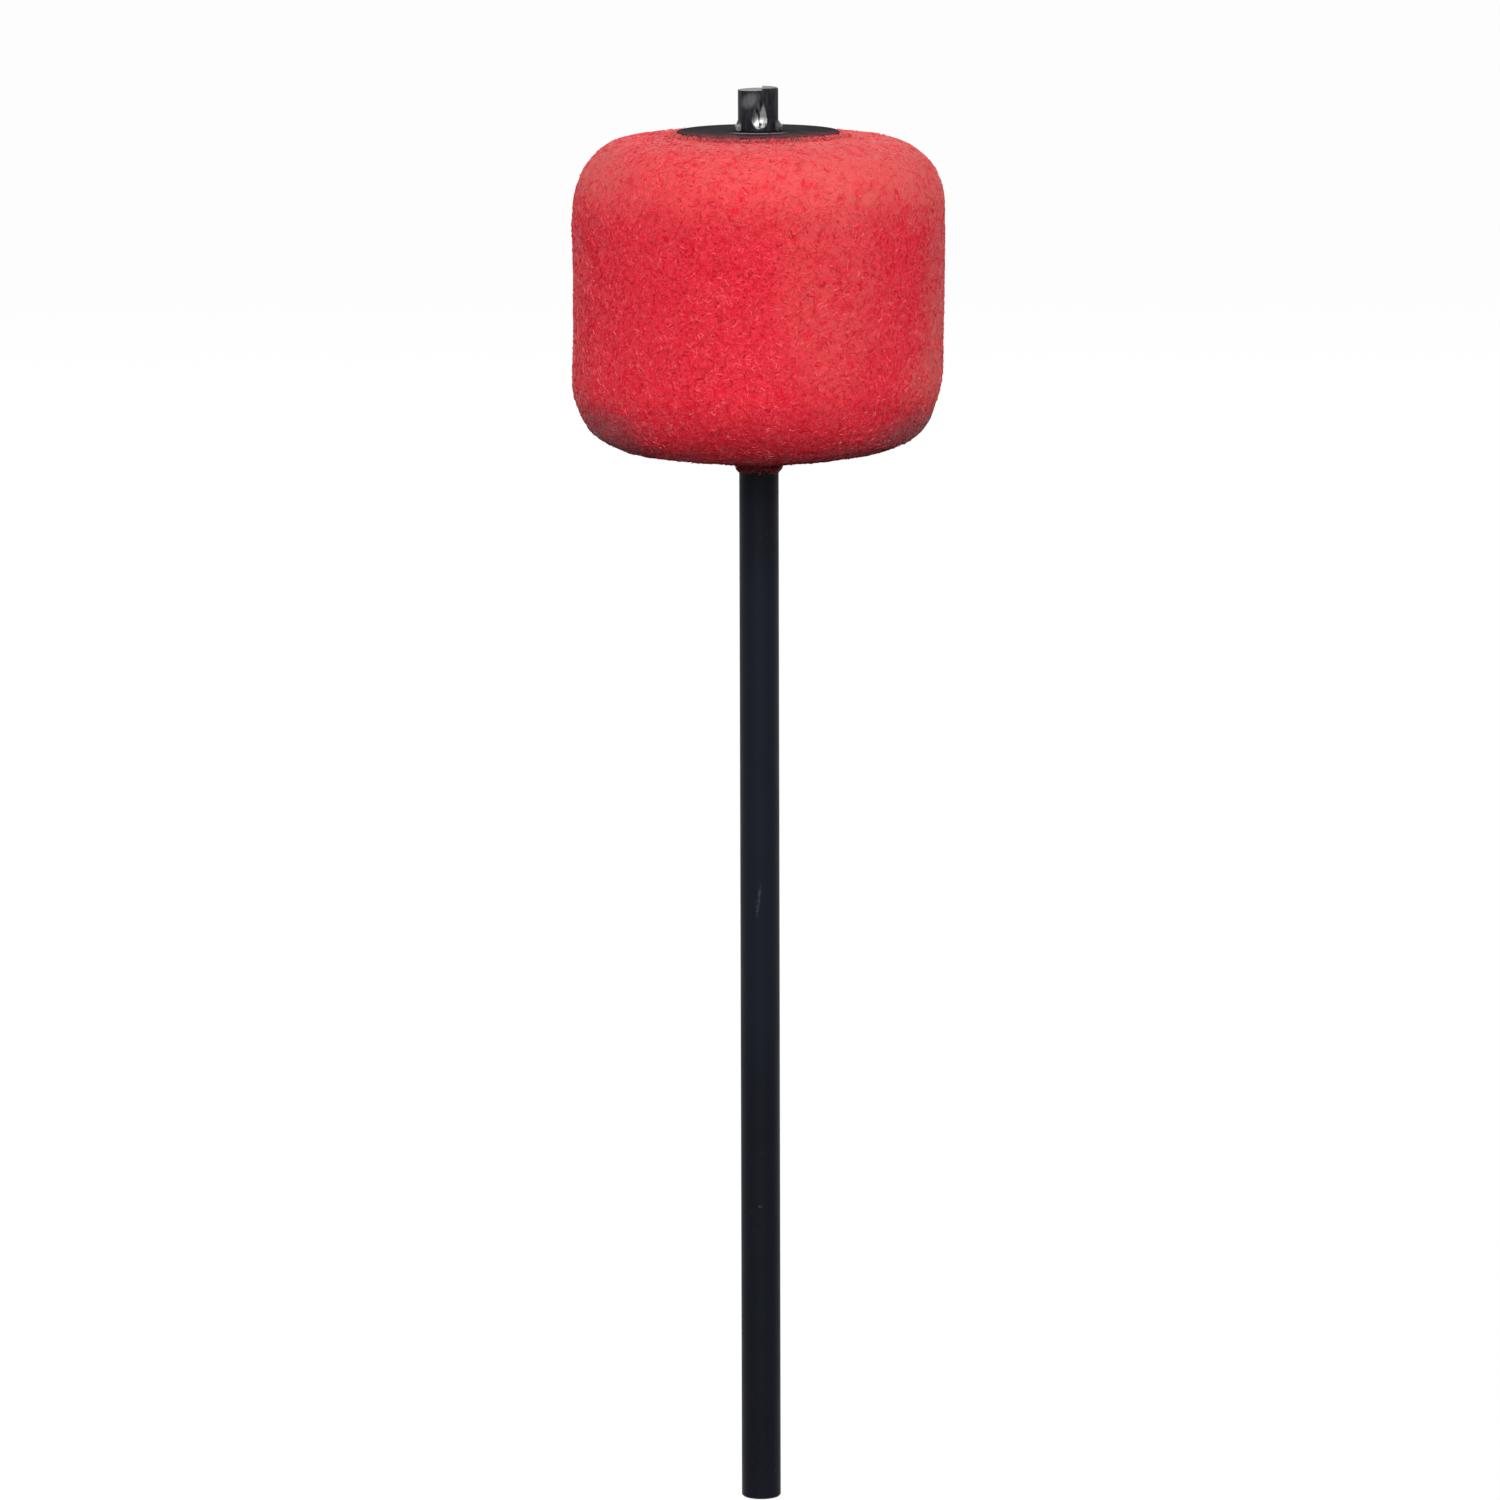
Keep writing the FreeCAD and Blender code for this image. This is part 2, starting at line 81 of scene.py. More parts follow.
# Where the head is worn in or bulges on its right (1) or left (-1): side, distance along the
# outline from the lower lip, rise and half-length.
WORN_PLACES = (
    (1, 9.8 * MM, -0.20 * MM, 1.8 * MM),
    (1, 19.0 * MM, -0.60 * MM, 3.6 * MM),
    (1, 27.0 * MM, -0.07 * MM, 6.0 * MM),
    (1, 44.0 * MM, 0.19 * MM, 8.0 * MM),
    (1, 56.0 * MM, 0.27 * MM, 4.5 * MM),
    (-1, 8.3 * MM, 0.26 * MM, 2.2 * MM),
    (-1, 14.0 * MM, 0.47 * MM, 3.0 * MM),
    (-1, 22.5 * MM, 0.25 * MM, 5.5 * MM),
    (-1, 46.5 * MM, 0.16 * MM, 3.0 * MM),
    (-1, 53.3 * MM, -0.20 * MM, 2.2 * MM),
    (-1, 61.5 * MM, 0.28 * MM, 3.0 * MM),
)
# The felt swells up round the front of the upper washer, which is pressed into it. The swelling
# is uneven, with lumps of a size and height, and there is none at one low place.
SWELL_RISE = 0.12 * MM
SWELL_LUMPS = ((9.0 * MM, 0.10 * MM),)
SWELL_WIDTH = 2.5 * MM
LOW_PLACE_TURN = math.radians(-119)
LOW_PLACE_WIDTH = math.radians(22)

# The nap: felt fibres that lie on the surface, a few of them standing off it.
NAP_PIECES = 4
NAP_FIBRES = 10500
NAP_SEED = 41
FIBRE_POINTS = 5
FIBRE_SHARE = np.linspace(0, 1, FIBRE_POINTS)
FIBRE_ANGLES = np.radians([90, 210, 330])
FIBRE_LENGTH = (0.6 * MM, 1.6 * MM)
FIBRE_WIDTH = (0.045 * MM, 0.095 * MM)
FIBRE_LIFT = (0.02 * MM, 0.11 * MM)
FIBRE_SINK = 0.05 * MM
FIBRE_CURL = 2.2
FIBRE_WAVER = FIBRE_CURL / 2
STANDING_SHARE = 0.08
STANDING_LIFT = (0.08 * MM, 0.30 * MM)
STANDING_BEND = 1.5
# The fuzz at the front of the upper rim, all of it standing and nearly all of it faded.
FUZZ_FIBRES = 1500
FUZZ_BAND = 1.6 * MM
FUZZ_LIFT = (0.15 * MM, 0.80 * MM)
FUZZ_TURNS = (-0.95 * math.pi, -0.05 * math.pi)
FUZZ_FADED = 0.9
# Felt fluff that is caught round the rod's collar: heights, with its distance from the axis at each.
FLUFF_FIBRES = 650
FLUFF_SEED = 7
COLLAR_BASE = FELT_LOW.z - 2.48 * MM
FLUFF_HEIGHTS = COLLAR_BASE + np.array([-0.35, -0.05, 0.1, 0.4, 1.5]) * MM
FLUFF_RADII = ROD_RADIUS + np.array([0.0, 0.14, 0.36, 0.49, 0.80]) * MM
FLUFF_LIFT = 0.05 * MM
FLUFF_SLANT = 0.3

# Finish of the fibres, from dark to pale: name, colour and share of the nap.
NAP_COLOURS = (
    ("nap_crimson", (0.58, 0.004, 0.018), 0.26),
    ("nap_red", (0.73, 0.012, 0.033), 0.42),
    ("nap_scarlet", (0.85, 0.042, 0.070), 0.22),
    ("nap_rose", (0.98, 0.145, 0.170), 0.10),
)
# The same for pale fibres: faded and dusty ones, which also carry the painted highlight and
# sheen at the upper corner and in the pale places.
PALE_AND_LIT_COLOURS = (
    ("nap_pale_and_lit", (0.69, 0.058, 0.060), 0.50),
    ("nap_dusty_and_lit", (0.84, 0.118, 0.116), 0.50),
)
# And for darkened fibres: painted shade at the lower corners and along the bottom, and a darker
# band on the upper rim by the washer.
DARKENED_COLOURS = (
    ("nap_darkened_deep", (0.30, 0.045, 0.055), 0.50),
    ("nap_darkened", (0.48, 0.080, 0.090), 0.50),
)
FIRST_PALE_AND_LIT = len(NAP_COLOURS)
FIRST_DARKENED = len(NAP_COLOURS + PALE_AND_LIT_COLOURS)
# How far the shade of a fibre follows that of the felt about it: the size of the clouds and
# clumps, and their weight.
SHADE_LUMPS = ((6.0 * MM, 0.26), (1.2 * MM, 0.42))
# The felt is painted paler at its upper corner, a painted highlight where the light from above
# falls: the heights where this starts and is full, how much more there is of it on the right than
# in the middle, and the share of pale fibres there.
TOP_LIGHT_START, TOP_LIGHT_FULL = FELT_HIGH.z - 16 * MM, FELT_HIGH.z - 3 * MM
TOP_LIGHT_LEAN = 0.35
TOP_LIGHT_MOST = 0.74
# Pale places on the front: X and Z of the middle, half-width, half-height and share of pale
# fibres. Some are rubbed felt; those at the upper corners and at the side edges are painted
# highlight and sheen. They run out round the sides, from one Y to another.
PALE_FULL, PALE_END = -2.0 * MM, 14.0 * MM
PALE_PLACES = (
    (11.0 * MM, 195.0 * MM, 8.0 * MM, 17.0 * MM, 0.44),
    (29.0 * MM, 189.0 * MM, 3.5 * MM, 20.0 * MM, 0.80),
    (-29.0 * MM, 184.0 * MM, 2.0 * MM, 20.0 * MM, 0.38),
    (-26.0 * MM, 212.5 * MM, 5.0 * MM, 4.5 * MM, 0.75),
    (26.0 * MM, 212.5 * MM, 5.0 * MM, 4.5 * MM, 0.70),
    (16.5 * MM, 209.3 * MM, 3.0 * MM, 0.9 * MM, 0.67),
    (25.5 * MM, 180.5 * MM, 3.5 * MM, 4.0 * MM, 0.54),
)
# The same for darkened places: painted shade at the lower corners and along the bottom, and a
# darker band on the upper rim by the washer.
DARKENED_PLACES = (
    (-26.0 * MM, 171.0 * MM, 7.5 * MM, 5.2 * MM, 0.95),
    (25.5 * MM, 170.8 * MM, 7.0 * MM, 4.6 * MM, 0.90),
    (-15.0 * MM, 167.0 * MM, 7.0 * MM, 2.4 * MM, 0.55),
    (14.0 * MM, 167.0 * MM, 7.0 * MM, 2.4 * MM, 0.45),
    (-6.0 * MM, 217.6 * MM, 5.5 * MM, 0.35 * MM, 0.90),
    (5.0 * MM, 217.6 * MM, 5.0 * MM, 0.3 * MM, 0.60),
)
# Where such a place has run out in the felt's finish, as a squared distance from its middle.
PLACE_EDGE = 1.8

# The felt under the nap: its grain from dark to bright, pale blotches and threads, dark pits,
# paler felt, partly rubbed and partly painted highlight and sheen, and darker felt, mostly
# painted shade.
FELT_DARK = (0.64, 0.008, 0.025)
FELT_BRIGHT = (0.80, 0.027, 0.050)
FELT_BLOTCH = (0.87, 0.056, 0.079)
FELT_THREAD = (0.97, 0.130, 0.155)
FELT_PIT = (0.46, 0.003, 0.013)
FELT_PALE_AND_LIT = (0.73, 0.098, 0.097)
FELT_DARKENED = (0.39, 0.062, 0.072)
# The sizes in which they come, how strongly they show and how far they stand out.
FELT_LUMPS = {
    "cloud": 7 * MM, "blotch": 1.8 * MM, "grain": 0.5 * MM, "thread": 1.1 * MM, "pit": 0.8 * MM}
FELT_WEIGHTS = {"cloud": 0.30, "blotch": 0.32, "thread": 0.42, "pit": 0.65}
FELT_BUMPS = {"thread": 0.4, "blotch": 0.8}
FELT_BUMP_DEPTH = 0.10 * MM
# The soft shine of wool, which is stronger on the felt than on loose fibres.
WOOL = {"Specular_IOR_Level": 0.10, "Sheen_Roughness": 0.26, "Sheen_Tint": (0.82, 0.82, 0.84)}
FELT_SHEEN = 0.36
NAP_SHEEN = 0.20

# The rod's black coat, its grey specks, its lighter middle length, which is a painted reflection,
# and its marks, then the stub's worn coat, a painted highlight on the stub's front, and bare steel.
ROD_DARK = (0.0024, 0.0032, 0.0064)
ROD_HAZE = (0.0042, 0.0053, 0.0096)
ROD_SPECK = (0.022, 0.022, 0.024)
ROD_LIT_MIDDLE = (0.0075, 0.0088, 0.0160)
ROD_MARK = (0.040, 0.041, 0.043)
STUB_WORN = (0.050, 0.050, 0.053)
STUB_HIGHLIGHT = (0.115, 0.115, 0.120)
BARE_STEEL = (0.54, 0.53, 0.53)
ROD_LUMPS = {
    "drawn": 0.25 * MM, "haze": 9 * MM, "speck": 0.5 * MM, "mark": 0.3 * MM, "patch": 0.8 * MM,
    "streak": 0.5 * MM}
ROD_WEIGHTS = {"speck": 0.4, "lightened": 0.65}
ROD_BUMP_DEPTH = 0.012 * MM
# Drawing marks run along the rod, and streaks up the stub.
DRAWN_STRETCH = (1, 1, 0.012)
STREAK_STRETCH = (1, 1, 0.3)
# The coat is painted a little lighter and bluer along the rod's middle length, a painted
# reflection of the light, which starts and ends between these heights.
LIT_MIDDLE_START = (62.0 * MM, 82.0 * MM)
LIT_MIDDLE_END = (142.0 * MM, 156.0 * MM)
# A scratch and a nick on the rod's front, which ends between two Ys: X and Z of the middle,
# half-width, half-length and lean to the right.
ROD_FRONT = (-1.0 * MM, -0.5 * MM)
ROD_MARKS = (
    (-0.24 * MM, 96.6 * MM, 0.32 * MM, 3.4 * MM, 0.13),
    (0.0, 47.6 * MM, 0.50 * MM, 0.25 * MM, 0.0),
)
# The stub's length between the washer and its torn end, its dents and ears by their distance from
# the axis, and the X over which its left is barer than its right, a painted highlight on the side
# that the light falls on.
STUB_START = (WASHER_FACE + 0.1 * MM, WASHER_FACE + 0.3 * MM)
STUB_END = (ROD_TOP - 1.0 * MM, ROD_TOP - 0.8 * MM)
DENT_REACH = (STUB_RADIUS - 0.40 * MM, STUB_RADIUS - 0.06 * MM)
EAR_REACH = (STUB_RADIUS + 0.1 * MM, STUB_RADIUS + 0.35 * MM)
STUB_LEFT, STUB_RIGHT = -1.0 * MM, 1.0 * MM
# A dent is bare at the bottom, up to a line that leans; above it the dent keeps its dark coat, which
# is painted shade in the top of the dent. Above the dent, a highlight is painted on the front.
BARE_HEIGHTS = (WASHER_FACE + 1.6 * MM, WASHER_FACE + 3.8 * MM)
BARE_LEAN = 1.3
HIGHLIGHT_X, HIGHLIGHT_Z = -1.2 * MM, WASHER_FACE + 4.9 * MM
HIGHLIGHT_WIDE, HIGHLIGHT_HIGH = 1.5 * MM, 1.2 * MM
HIGHLIGHT_LEAN = 0.35
HIGHLIGHT_RAGGED = 1.6

# The washers' coat, the lint on it and a pale arc round the front of the hole.
WASHER_DARK = (0.008, 0.009, 0.010)
WASHER_HAZE = (0.014, 0.015, 0.016)
WASHER_LINT = (0.32, 0.078, 0.102)
WASHER_PALE_ARC = (0.42, 0.40, 0.40)
WASHER_LUMPS = {"haze": 3 * MM, "grain": 0.35 * MM, "clump": 1.6 * MM}
WASHER_BUMP_DEPTH = 0.010 * MM
ARC_RADIUS = ROD_RADIUS + 2.1 * MM
ARC_EDGE = (0.3 * MM, 0.8 * MM)
ARC_FRONT = (-5.0 * MM, -2.6 * MM)
LINT_START = 0.25 * WASHER_RADIUS

# The sleeve's milky nylon, with turning marks round it.
SLEEVE_DARK = (0.70, 0.68, 0.60)
SLEEVE_PALE = (0.78, 0.76, 0.69)
SLEEVE_LUMPS = {"cloud": 4 * MM, "turned": 0.3 * MM}
SLEEVE_BUMP_DEPTH = 0.02 * MM
TURNED_STRETCH = (0.02, 0.02, 1)

# The camera, fitted to the photograph's outline.
CAMERA_PLACE = (-0.00151, -1.3998, 0.3405)
CAMERA_AIM = (-0.00151, 0, 0.1203)
CAMERA_ROLL = math.radians(-0.148)
CAMERA_LENS = 216.0
CAMERA_SENSOR = 36.0
# The light: the even part, then each lamp's name, place, width and height, and power.
AMBIENT = 0.24
LAMPS = (
    ("front_softbox", (0.0, -1.55, 0.78), (1.4, 0.7), 22.0),
    ("left_softbox", (-1.35, -0.75, 1.15), (0.9, 0.7), 11.0),
    ("right_softbox", (1.35, -0.75, 1.15), (0.9, 0.7), 11.9),
    ("top_softbox", (0.0, -0.1, 1.25), (0.9, 0.9), 0.3),
    ("back_softbox", (0.0, 1.55, 0.75), (1.4, 0.7), 7.0),
)
# The floor: its size, its paper as it is seen and as it lights the object, and its own glow.
FLOOR_REACH = 30.0
FLOOR_DROP = 0.2 * MM
FLOOR_PAPER = 0.80
FLOOR_DIM_PAPER = 0.08
FLOOR_GLOW_SHARE = 0.95
FLOOR_GLOW = 1.02


class Finish:
    """A material's node tree, with short calls for the nodes that the finishes share."""

    def __init__(self, name):
        self.material = bpy.data.materials.new(name)
        self.material.use_nodes = True
        self.tree = self.material.node_tree
        self.shader = self.tree.nodes["Principled BSDF"]
        self.place = self.node("ShaderNodeTexCoord").outputs["Object"]

    def put(self, socket, value):
        """Link a socket, or set it to a constant."""
        if isinstance(value, bpy.types.NodeSocket):
            self.tree.links.new(value, socket)
        elif hasattr(value, "__len__") and len(value) == 3 and socket.type == "RGBA":
            socket.default_value = (*value, 1)
        else:
            socket.default_value = value

    def node(self, kind, inputs=None, **settings):
        """A new node with these settings and inputs."""
        made = self.tree.nodes.new(kind)
        for key, value in settings.items():
            setattr(made, key, value)
        for key, value in (inputs or {}).items():
            self.put(made.inputs[key], value)
        return made

    def set(self, **inputs):
        """Set the shader's own sockets, with underscores for the spaces in their names."""
        for key, value in inputs.items():
            self.put(self.shader.inputs[key.replace("_", " ")], value)

    def math(self, operation, first, second=0.0, clamp=False):
        """The result of an operation on two sockets or numbers."""
        settings = {"operation": operation, "use_clamp": clamp}
        return self.node("ShaderNodeMath", {0: first, 1: second}, **settings).outputs[0]

    def product(self, first, *others):
        """All the values multiplied."""
        for other in others:
            first = self.math("MULTIPLY", first, other)
        return first

    def squares(self, first, second):
        """The sum of two squares."""
        return self.math("ADD", self.product(first, first), self.product(second, second))

    def stretch(self, scale):
        """The place on the object, with each axis scaled."""
        made = self.node("ShaderNodeVectorMath", {0: self.place, 1: scale}, operation="MULTIPLY")
        return made.outputs[0]

    def noise(self, size, detail=2.0, distortion=0.0, place=None):
        """Cloudy noise from 0 to 1 with lumps of about that size."""
        inputs = {"Vector": place or self.place, "Scale": 1 / size}
        inputs |= {"Detail": detail, "Distortion": distortion}
        return self.node("ShaderNodeTexNoise", inputs).outputs[0]

    def ramp(self, value, low, high, to_low=0.0, to_high=1.0):
        """A smooth step of a value between two levels."""
        inputs = {"Value": value, "From Min": low, "From Max": high}
        inputs |= {"To Min": to_low, "To Max": to_high}
        return self.node("ShaderNodeMapRange", inputs, interpolation_type="SMOOTHSTEP").outputs[0]

    def fade(self, value, low, high):
        """A smooth step down, from 1 to 0, between two levels."""
        return self.ramp(value, low, high, to_low=1.0, to_high=0.0)

    def mix(self, factor, first, second):
        """A colour between two."""
        made = self.node("ShaderNodeMix", {0: factor, 6: first, 7: second}, data_type="RGBA")
        return made.outputs[2]

    def axes(self):
        """The place's X, Y and Z, and its distance from the rod's axis."""
        parts = self.node("ShaderNodeSeparateXYZ", {0: self.place}).outputs
        flat = self.stretch((1, 1, 0))
        reach = self.node("ShaderNodeVectorMath", {0: flat}, operation="LENGTH").outputs["Value"]
        return parts[0], parts[1], parts[2], reach

    def off_oval(self, x, z, oval, lean=0.0):
        """Squared distance from the middle of an oval that leans to the right, 1 at its edge."""
        middle_x, middle_z, wide, high = oval
        aside = self.math("SUBTRACT", x, middle_x)
        above = self.math("SUBTRACT", z, middle_z)
        if lean:
            aside = self.math("SUBTRACT", aside, self.product(above, lean))
        return self.squares(self.math("DIVIDE", aside, wide), self.math("DIVIDE", above, high))

    def bump(self, height, depth):
        """Small relief in the shading, of that depth."""
        made = self.node("ShaderNodeBump", {"Height": height, "Distance": depth, "Strength": 1.0})
        self.set(Normal=made.outputs[0])


def places_share(finish, x, z, places):
    """How far a spot lies in some oval places, as a socket."""
    total = 0.0
    for *oval, share in places:
        off_middle = finish.off_oval(x, z, oval)
        here = finish.ramp(off_middle, 0.0, PLACE_EDGE, to_low=share, to_high=0.0)
        total = finish.math("ADD", total, here)
    return total


def felt_finish():
    """Pressed red wool: grainy, cloudy colour, pale squiggles of thread, dark pits, soft sheen."""
    felt = Finish("red_wool_felt")
    x, y, z, _ = felt.axes()
    cloud = felt.ramp(felt.noise(FELT_LUMPS["cloud"], detail=3), low=0.35, high=0.65)
    blotch = felt.noise(FELT_LUMPS["blotch"], detail=2)
    grain = felt.ramp(felt.noise(FELT_LUMPS["grain"], detail=2), low=0.34, high=0.66)
    thread = felt.noise(FELT_LUMPS["thread"], detail=2, distortion=1.6)
    off_line = felt.math("ABSOLUTE", felt.math("SUBTRACT", thread, 0.5))
    squiggle = felt.fade(off_line, low=0.0, high=0.045)
    hole = felt.noise(FELT_LUMPS["pit"], detail=1, distortion=0.6)
    pit = felt.ramp(hole, low=0.62, high=0.74)
    colour = felt.mix(grain, FELT_DARK, FELT_BRIGHT)
    colour = felt.mix(felt.product(cloud, FELT_WEIGHTS["cloud"]), colour, FELT_BRIGHT)
    blotched = felt.ramp(blotch, low=0.50, high=0.75, to_high=FELT_WEIGHTS["blotch"])
    colour = felt.mix(blotched, colour, FELT_BLOTCH)
    colour = felt.mix(felt.product(squiggle, FELT_WEIGHTS["thread"]), colour, FELT_THREAD)
    colour = felt.mix(felt.product(pit, FELT_WEIGHTS["pit"]), colour, FELT_PIT)
    # Painted highlight: the felt is paler towards its upper corner, where the light from above
    # falls.
    lean = felt.math("ADD", felt.product(x, TOP_LIGHT_LEAN / FELT_RADIUS), 1.0)
    pale_and_lit = felt.product(felt.ramp(z, TOP_LIGHT_START, TOP_LIGHT_FULL, to_high=TOP_LIGHT_MOST), lean)
    front = felt.fade(y, PALE_FULL, PALE_END)
    # Pale places: some are rubbed felt, those at the upper corners and side edges painted highlight
    # and sheen.
    lightened = felt.product(places_share(felt, x, z, PALE_PLACES), front)
    pale_and_lit = felt.math("ADD", pale_and_lit, lightened)
    pale = felt.product(pale_and_lit, felt.ramp(blotch, low=0.25, high=0.55))
    colour = felt.mix(pale, colour, FELT_PALE_AND_LIT)
    # Painted shade: darker at the lower corners and along the bottom; a darker band on the upper
    # rim.
    darkened = felt.product(places_share(felt, x, z, DARKENED_PLACES), front)
    colour = felt.mix(darkened, colour, FELT_DARKENED)
    felt.set(Base_Color=colour, Roughness=0.95, Sheen_Weight=FELT_SHEEN, **WOOL)
    threads = felt.product(squiggle, FELT_BUMPS["thread"])
    height = felt.math("ADD", threads, felt.product(blotch, FELT_BUMPS["blotch"]))
    felt.bump(felt.math("SUBTRACT", height, pit), FELT_BUMP_DEPTH)
    return felt.material


def nap_finish(name, colour):
    """One dye shade of the loose fibres."""
    fibre = Finish(name)
    fibre.set(Base_Color=colour, Roughness=0.9, Sheen_Weight=NAP_SHEEN, **WOOL)
    return fibre.material


def rod_coat(rod, x, z, haze, front):
    """The rod's black coat: hazy, specked, with a painted reflection along the middle, marked on the
    front.
    """
    coat = rod.mix(haze, ROD_DARK, ROD_HAZE)
    speck = rod.ramp(rod.noise(ROD_LUMPS["speck"], detail=1), low=0.70, high=0.76)
    coat = rod.mix(rod.product(speck, ROD_WEIGHTS["speck"]), coat, ROD_SPECK)
    # Painted reflection: the coat is lighter and bluer along the rod's middle length.
    middle = rod.product(rod.ramp(z, *LIT_MIDDLE_START), rod.fade(z, *LIT_MIDDLE_END))
    coat = rod.mix(rod.product(middle, ROD_WEIGHTS["lightened"]), coat, ROD_LIT_MIDDLE)
    broken = rod.ramp(rod.noise(ROD_LUMPS["mark"], detail=2), low=0.38, high=0.60)
    marked = rod.product(broken, front)
    for *oval, lean in ROD_MARKS:
        inside = rod.fade(rod.off_oval(x, z, oval, lean), low=0.2, high=1.0)
        coat = rod.mix(rod.product(inside, marked), coat, ROD_MARK)
    return coat


def highlight_share(rod, x, z, streak):
    """How far a painted highlight covers a spot on the stub's front."""
    aside = rod.math("DIVIDE", rod.math("SUBTRACT", x, HIGHLIGHT_X), HIGHLIGHT_WIDE)
    above = rod.math("DIVIDE", rod.math("SUBTRACT", z, HIGHLIGHT_Z), HIGHLIGHT_HIGH)
    above = rod.math("SUBTRACT", above, rod.product(aside, HIGHLIGHT_LEAN))
    ragged = rod.math("ADD", rod.squares(aside, above), rod.product(streak, HIGHLIGHT_RAGGED))
    return rod.ramp(ragged, low=0.7, high=2.4, to_low=0.90, to_high=0.0)


def rod_finish():
    """Black satin coat, drawn along the rod and rubbed to steel on the pinched stub; the stub also
    has painted highlights and painted shade.
    """
    rod = Finish("black_satin_rod")
    x, y, z, reach = rod.axes()
    drawn = rod.noise(ROD_LUMPS["drawn"], detail=2, place=rod.stretch(DRAWN_STRETCH))
    haze = rod.noise(ROD_LUMPS["haze"], detail=3)
    patchy = rod.noise(ROD_LUMPS["patch"], detail=3)
    streak = rod.noise(ROD_LUMPS["streak"], detail=3, place=rod.stretch(STREAK_STRETCH))
    front = rod.fade(y, *ROD_FRONT)
    on_stub = rod.ramp(z, *STUB_START)
    under_end = rod.fade(z, *STUB_END)
    dented = rod.fade(reach, *DENT_REACH)
    # Painted shade: the top of each dent keeps the dark coat.
    leaning = rod.math("SUBTRACT", z, rod.product(x, BARE_LEAN))
    bared = rod.ramp(leaning, *BARE_HEIGHTS, to_low=1.0, to_high=0.10)
    streaked = rod.ramp(streak, low=0.34, high=0.60)
    dent = rod.product(dented, on_stub, under_end, bared, streaked)
    eared = rod.ramp(reach, *EAR_REACH)
    # Painted highlight: the left ear is barer than the right.
    lit_left = rod.ramp(x, STUB_LEFT, STUB_RIGHT, to_low=0.65, to_high=0.12)
    ear = rod.product(eared, on_stub, lit_left, rod.ramp(patchy, low=0.38, high=0.52))
    bare = rod.math("MAXIMUM", dent, ear, clamp=True)
    coat = rod_coat(rod, x, z, haze, front)
    worn = rod.ramp(streak, low=0.35, high=0.75, to_low=0.10, to_high=0.50)
    coat = rod.mix(rod.product(on_stub, worn), coat, STUB_WORN)
    # Painted highlight on the stub's front, above the dents.
    undented = rod.math("SUBTRACT", 1.0, dented)
    highlight = rod.product(highlight_share(rod, x, z, streak), front, undented)
    coat = rod.mix(highlight, coat, STUB_HIGHLIGHT)
    satin = rod.ramp(haze, low=0.3, high=0.7, to_low=0.38, to_high=0.48)
    rough = rod.math("ADD", satin, rod.product(drawn, 0.10))
    rod.set(Base_Color=rod.mix(bare, coat, BARE_STEEL), Metallic=bare)
    rod.set(Roughness=rough, Specular_IOR_Level=0.08)
    rod.bump(rod.math("ADD", drawn, rod.product(patchy, 0.4)), ROD_BUMP_DEPTH)
    return rod.material


def washer_finish():
    """Dull, hazy black coat with a pale arc before the hole and lint towards the front."""
    washer = Finish("black_matt_washer")
    _, y, _, reach = washer.axes()
    haze = washer.noise(WASHER_LUMPS["haze"], detail=3)
    grain = washer.noise(WASHER_LUMPS["grain"], detail=2)
    off_arc = washer.math("ABSOLUTE", washer.math("SUBTRACT", reach, ARC_RADIUS))
    on_arc = washer.fade(off_arc, *ARC_EDGE)
    broken = washer.ramp(grain, low=0.30, high=0.55)
    lightened = washer.product(on_arc, broken, washer.fade(y, *ARC_FRONT))
    forward = washer.fade(y, -WASHER_RADIUS, ROD_RADIUS)
    outward = washer.ramp(reach, LINT_START, WASHER_RADIUS)
    clumps = washer.noise(WASHER_LUMPS["clump"], detail=3)
    clump = washer.ramp(clumps, low=0.32, high=0.64, to_low=0.20, to_high=0.85)
    speckled = washer.ramp(grain, low=0.30, high=0.65, to_low=0.25)
    lint = washer.product(forward, outward, clump, speckled)
    coat = washer.mix(haze, WASHER_DARK, WASHER_HAZE)
    coat = washer.mix(lint, coat, WASHER_LINT)
    coat = washer.mix(lightened, coat, WASHER_PALE_ARC)
    matt = washer.ramp(haze, low=0.3, high=0.7, to_low=0.70, to_high=0.82)
    washer.set(Base_Color=coat, Roughness=matt, Specular_IOR_Level=0.006)
    washer.bump(grain, WASHER_BUMP_DEPTH)
    return washer.material


def sleeve_finish():
    """Natural nylon: milky, faintly mottled, with turning marks round it."""
    sleeve = Finish("milky_nylon_sleeve")
    cloud = sleeve.noise(SLEEVE_LUMPS["cloud"], detail=2)
    turned = sleeve.noise(SLEEVE_LUMPS["turned"], detail=1, place=sleeve.stretch(TURNED_STRETCH))
    rough = sleeve.ramp(turned, low=0.3, high=0.7, to_low=0.40, to_high=0.55)
    sleeve.set(Base_Color=sleeve.mix(cloud, SLEEVE_DARK, SLEEVE_PALE))
    sleeve.set(Roughness=rough, Subsurface_Weight=0.1)
    sleeve.bump(turned, SLEEVE_BUMP_DEPTH)
    return sleeve.material


def dome_radius(crown):
    """Radius of a domed end that rises by its crown from the head's side to the axis."""
    return (FELT_RADIUS ** 2 + crown ** 2) / (2 * crown)


def dome_rise(crown):
    """How far a dome's top stands over its own circle at the washer's seat."""
    dome = dome_radius(crown)
    return dome - math.sqrt(dome ** 2 - SEAT_RADIUS ** 2)


def arc(centre, radius, start, end):
    """Points along an arc of the section, without its end, and the direction that each faces."""
    count = max(2, round(abs(end - start) * radius / ROW_SPACING))
    facing = np.linspace(start, end, count, endpoint=False)
    points = np.array(centre) + radius * np.stack([np.cos(facing), np.sin(facing)], axis=1)
    return points, facing


